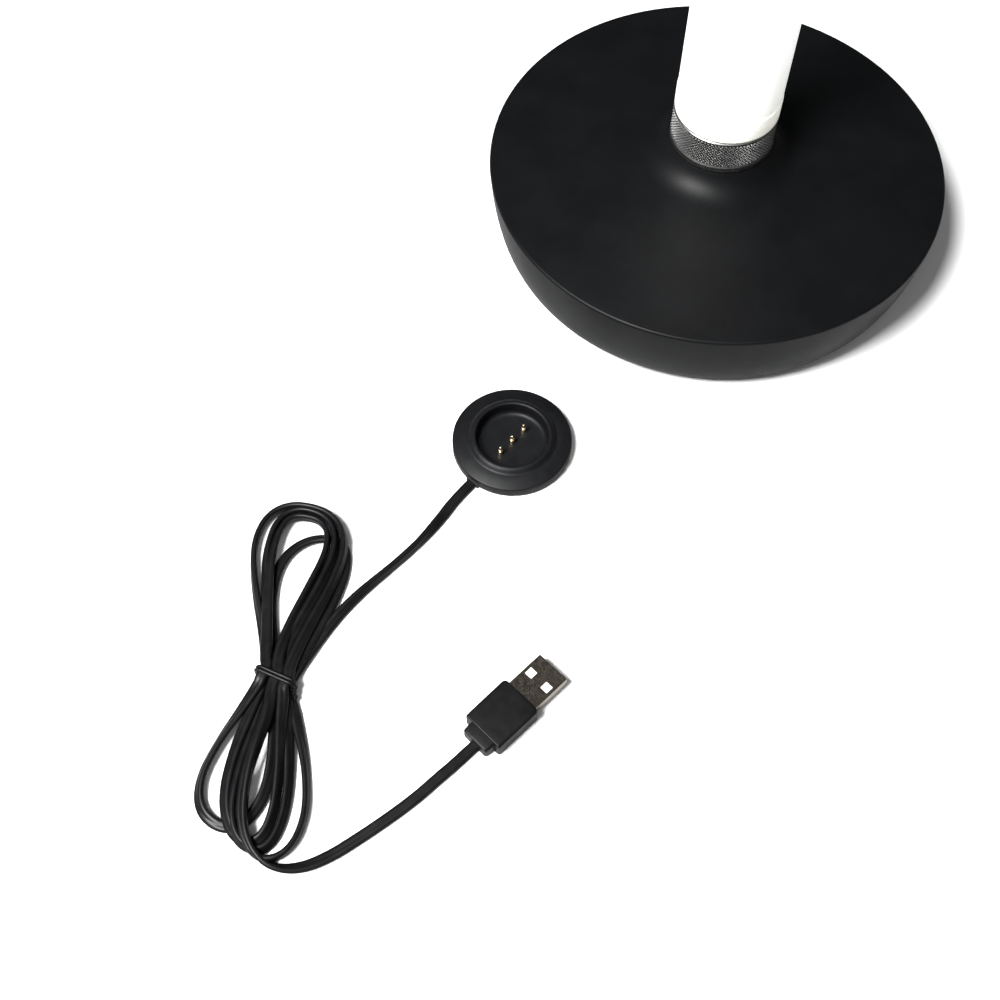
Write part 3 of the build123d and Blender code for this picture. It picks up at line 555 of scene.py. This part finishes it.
def make_collar():
    """The dimmer collar, with each diamond of its knurl as a flat-topped pyramid."""
    around, rows = 92, 17
    crest, root, flat_share = 18.45, 17.9, 0.34
    step = math.pi / around
    n = 2 * around

    def ring_at(radius, height):
        return [(radius * math.cos(i * step), radius * math.sin(i * step), height)
                for i in range(n)]

    below = [(16.6, 46.3), (18.2, 46.3), (18.5, 46.6), (18.5, 48.5), (18.42, 48.62), (18.0, 48.75)]
    above = [(18.0, 59.0), (18.4, 59.15), (18.45, 59.6), (18.1, 59.9), (16.6, 59.9), (16.6, 46.3)]
    points, faces = [], []
    for radius, height in below:
        points += ring_at(radius, height)
    first = len(points)
    rise = (KNURL_TOP - KNURL_Z) / (rows - 1)
    for row in range(rows):
        for i in range(n):
            radius = root if (i + row) % 2 == 0 else crest
            if row in (0, rows - 1):
                radius = root
            points.append((radius * math.cos(i * step), radius * math.sin(i * step),
                           KNURL_Z + row * rise))
    last = first + (rows - 1) * n
    for radius, height in above:
        points += ring_at(radius, height)

    def at(row, i):
        return first + row * n + i % n

    for k in range(len(below)):
        a, b = k * n, (k + 1) * n
        faces += [(a + i, a + (i + 1) % n, b + (i + 1) % n, b + i) for i in range(n)]
    for k in range(len(above)):
        a, b = last + k * n, last + (k + 1) * n
        faces += [(a + i, a + (i + 1) % n, b + (i + 1) % n, b + i) for i in range(n)]
    for row in range(1, rows - 1):
        for i in range(row % 2 == 0, n, 2):
            middle = at(row, i)
            corners = (at(row, i - 1), at(row - 1, i), at(row, i + 1), at(row + 1, i))
            peak = Vector(points[middle])
            flat = []
            for corner in corners:
                place = peak.lerp(Vector(points[corner]), flat_share)
                out = Vector((place.x, place.y, 0)).normalized() * crest
                flat.append(len(points))
                points.append((out.x, out.y, place.z))
            faces.append(tuple(flat))
            faces += [(corners[k], corners[(k + 1) % 4], flat[(k + 1) % 4], flat[k])
                      for k in range(4)]
    for row, inner in ((0, 1), (rows - 1, rows - 2)):
        for i in range(n):
            if (i + inner) % 2 == 0:
                ends = (at(row, i - 1), at(row, i), at(row, i + 1), at(inner, i))
                faces.append(ends if row == 0 else ends[::-1])
    used = sorted({i for face in faces for i in face})
    index = {old: new for new, old in enumerate(used)}
    make_piece("dimmer_collar", [points[i] for i in used],
               [tuple(index[i] for i in face) for face in faces],
               "knurled_steel", "collar", ("knurled_collar",), sharp=20.0)


def make_tube():
    """The opal tube, with a slightly wider band at its rounded lower edge."""
    band, band_top = 18.35, 67.6
    wall = (arc((band - 0.6, 60.8), 0.6, 270, 360, 5) + [(band, band_top)]
            + bezier((band, band_top), (band, 68.2), (TUBE_R, 68.2), (TUBE_R, 69.0), 5)
            + [(TUBE_R, 90.0), (TUBE_R, 200.0), (TUBE_R, TUBE_TOP), (TUBE_BORE, TUBE_TOP),
               (TUBE_BORE, 60.7), (16.8, 60.2)])
    points, faces = turned(wall, 192)
    tube = make_piece("opal_tube", points, faces, "opal_diffuser", "light_tube", ("diffuser_tube",))
    tube.visible_shadow = False     # it glows, so its shadow doesn't show on the table


# ---- puck --------------------------------------------------------------------------------
def make_puck():
    """The puck's cover: a plain edge, a crowned top, a raised lip and the recess with the pins."""
    edge = [(20.0, 0.3), (20.6, 0.6), (20.8, 1.1), (20.8, 4.2)]
    shoulder = arc((20.3, 4.2), 0.5, 0, 72, 6)[1:]
    crown = bezier(shoulder[-1], (19.0, 5.2), (17.4, 5.75), (15.8, 6.0), 10)
    step = bezier(crown[-1], (15.1, 6.1), (14.6, 7.2), (13.6, 7.4), 10)
    lip = bezier(step[-1], (13.0, 7.5), (12.6, 7.25), (12.5, 6.7), 8)
    recess = [(12.5, 4.4)] + bezier((12.5, 4.4), (12.5, 3.0), (11.9, 2.25), (10.4, 2.2), 8)
    floor = [(6.0, 2.2), (0.0, 2.2), (0.0, 1.4), (13.4, 1.4), (19.6, 1.4), (19.6, 0.3)]
    points, faces = turned(edge + shoulder + crown + step + lip + recess + floor, 160,
                           (PUCK_X, PUCK_Y))
    make_piece("puck_shell", points, faces, "puck_abs", "charging_lead", ("puck_cover",))


# ---- plug --------------------------------------------------------------------------------
def make_overmould():
    """The plug's body: a soft-edged block, a little narrower towards the cord."""
    origin, way, side = Vector((PLUG_X, PLUG_Y, 0)), heading(PLUG_ANGLE), heading(PLUG_ANGLE + 90)

    def block(stations, name, replaced):
        rings = []
        for u, half_w, low, high, corner in stations:
            outline = (arc((half_w - corner, high - corner), corner, 0, 90, 5)
                       + arc((corner - half_w, high - corner), corner, 90, 180, 5)
                       + arc((corner - half_w, low + corner), corner, 180, 270, 5)
                       + arc((half_w - corner, low + corner), corner, 270, 360, 5))
            rings.append([origin + way * u + side * x + Vector((0, 0, z)) for x, z in outline])
        points, faces = joined_rings(rings)
        make_piece(name, points, faces, "cord_jacket", "charging_lead", (replaced,))

    def end_round(u, half_w, high, cut, way_out):
        """Stations that round the end of a block in plan and, a little, over its top."""
        made = []
        for k in range(6):
            turn = math.radians(90 * k / 5)
            loss = cut * (1 - math.cos(turn))
            made.append((u - way_out * cut * (1 - math.sin(turn)), half_w - loss, 0.35 * loss,
                         high - 0.6 * loss, OVER_ROUND))
        return made if way_out > 0 else made[::-1]

    half_w, relief_w = OVER_W / 2, RELIEF_W / 2
    block(end_round(0.0, half_w - 0.1, OVER_H - 0.1, 0.35, -1)
          + [(4.0, half_w - 0.05, 0.0, OVER_H, OVER_ROUND), (13.0, half_w, 0.0, OVER_H, OVER_ROUND)]
          + end_round(OVER_L, half_w, OVER_H, 1.3, 1), "plug_body", "plug_overmould")
    block(end_round(-RELIEF_L, relief_w - 0.2, RELIEF_H - 0.2, 0.5, -1)
          + [(u, relief_w, 0.0, RELIEF_H, OVER_ROUND) for u in (-1.5, 0.4)],
          "plug_neck", "plug_strain_relief")


# ---- stage -------------------------------------------------------------------------------
FLOOR_HALF = 6.0


def make_floor():
    mesh = bpy.data.meshes.new("floor")
    h = FLOOR_HALF
    mesh.from_pydata([(-h, -h, 0), (h, -h, 0), (h, h, 0), (-h, h, 0)], [], [(0, 1, 2, 3)])
    f = Finish("floor_white", (0.9, 0.9, 0.9), 0.9)
    rays = f.tree.nodes.new("ShaderNodeLightPath").outputs["Is Camera Ray"]
    f.tree.links.new(f.ramp(rays, (0.0, (0.4, 0.4, 0.4)), (1.0, (0.92, 0.92, 0.92))),
                     f.shader.inputs["Base Color"])
    mesh.materials.append(f.material)
    floor = bpy.data.objects.new("floor", mesh)
    bpy.context.scene.collection.objects.link(floor)


def make_light(name, place, target, size, power):
    data = bpy.data.lights.new(name, "AREA")
    data.shape = "DISK"
    data.size = size
    data.energy = power
    light = bpy.data.objects.new(name, data)
    light.location = place
    light.rotation_euler = (Vector(target) - Vector(place)).to_track_quat("-Z", "Y").to_euler()
    bpy.context.scene.collection.objects.link(light)


def make_light_set():
    world = bpy.data.worlds.new("studio")
    world.use_nodes = True
    world.node_tree.nodes["Background"].inputs["Color"].default_value = (1.0, 1.0, 1.0, 1.0)
    world.node_tree.nodes["Background"].inputs["Strength"].default_value = 0.06
    bpy.context.scene.world = world
    middle = (-0.05, -0.08, 0.0)
    make_light("key", (-0.66, -0.52, 1.2), middle, 0.5, 56.0)
    make_light("front_fill", (0.05, -1.3, 1.9), middle, 1.8, 8.0)
    bpy.context.scene.view_settings.view_transform = "Standard"


# ---- everything in order -----------------------------------------------------------------
make_camera()
finish_cad_nodes()
cord, cord_line = make_cord()
make_tie()
make_base()
make_collar()
make_tube()
make_puck()
make_overmould()
make_floor()
make_light_set()

bpy.context.view_layer.update()
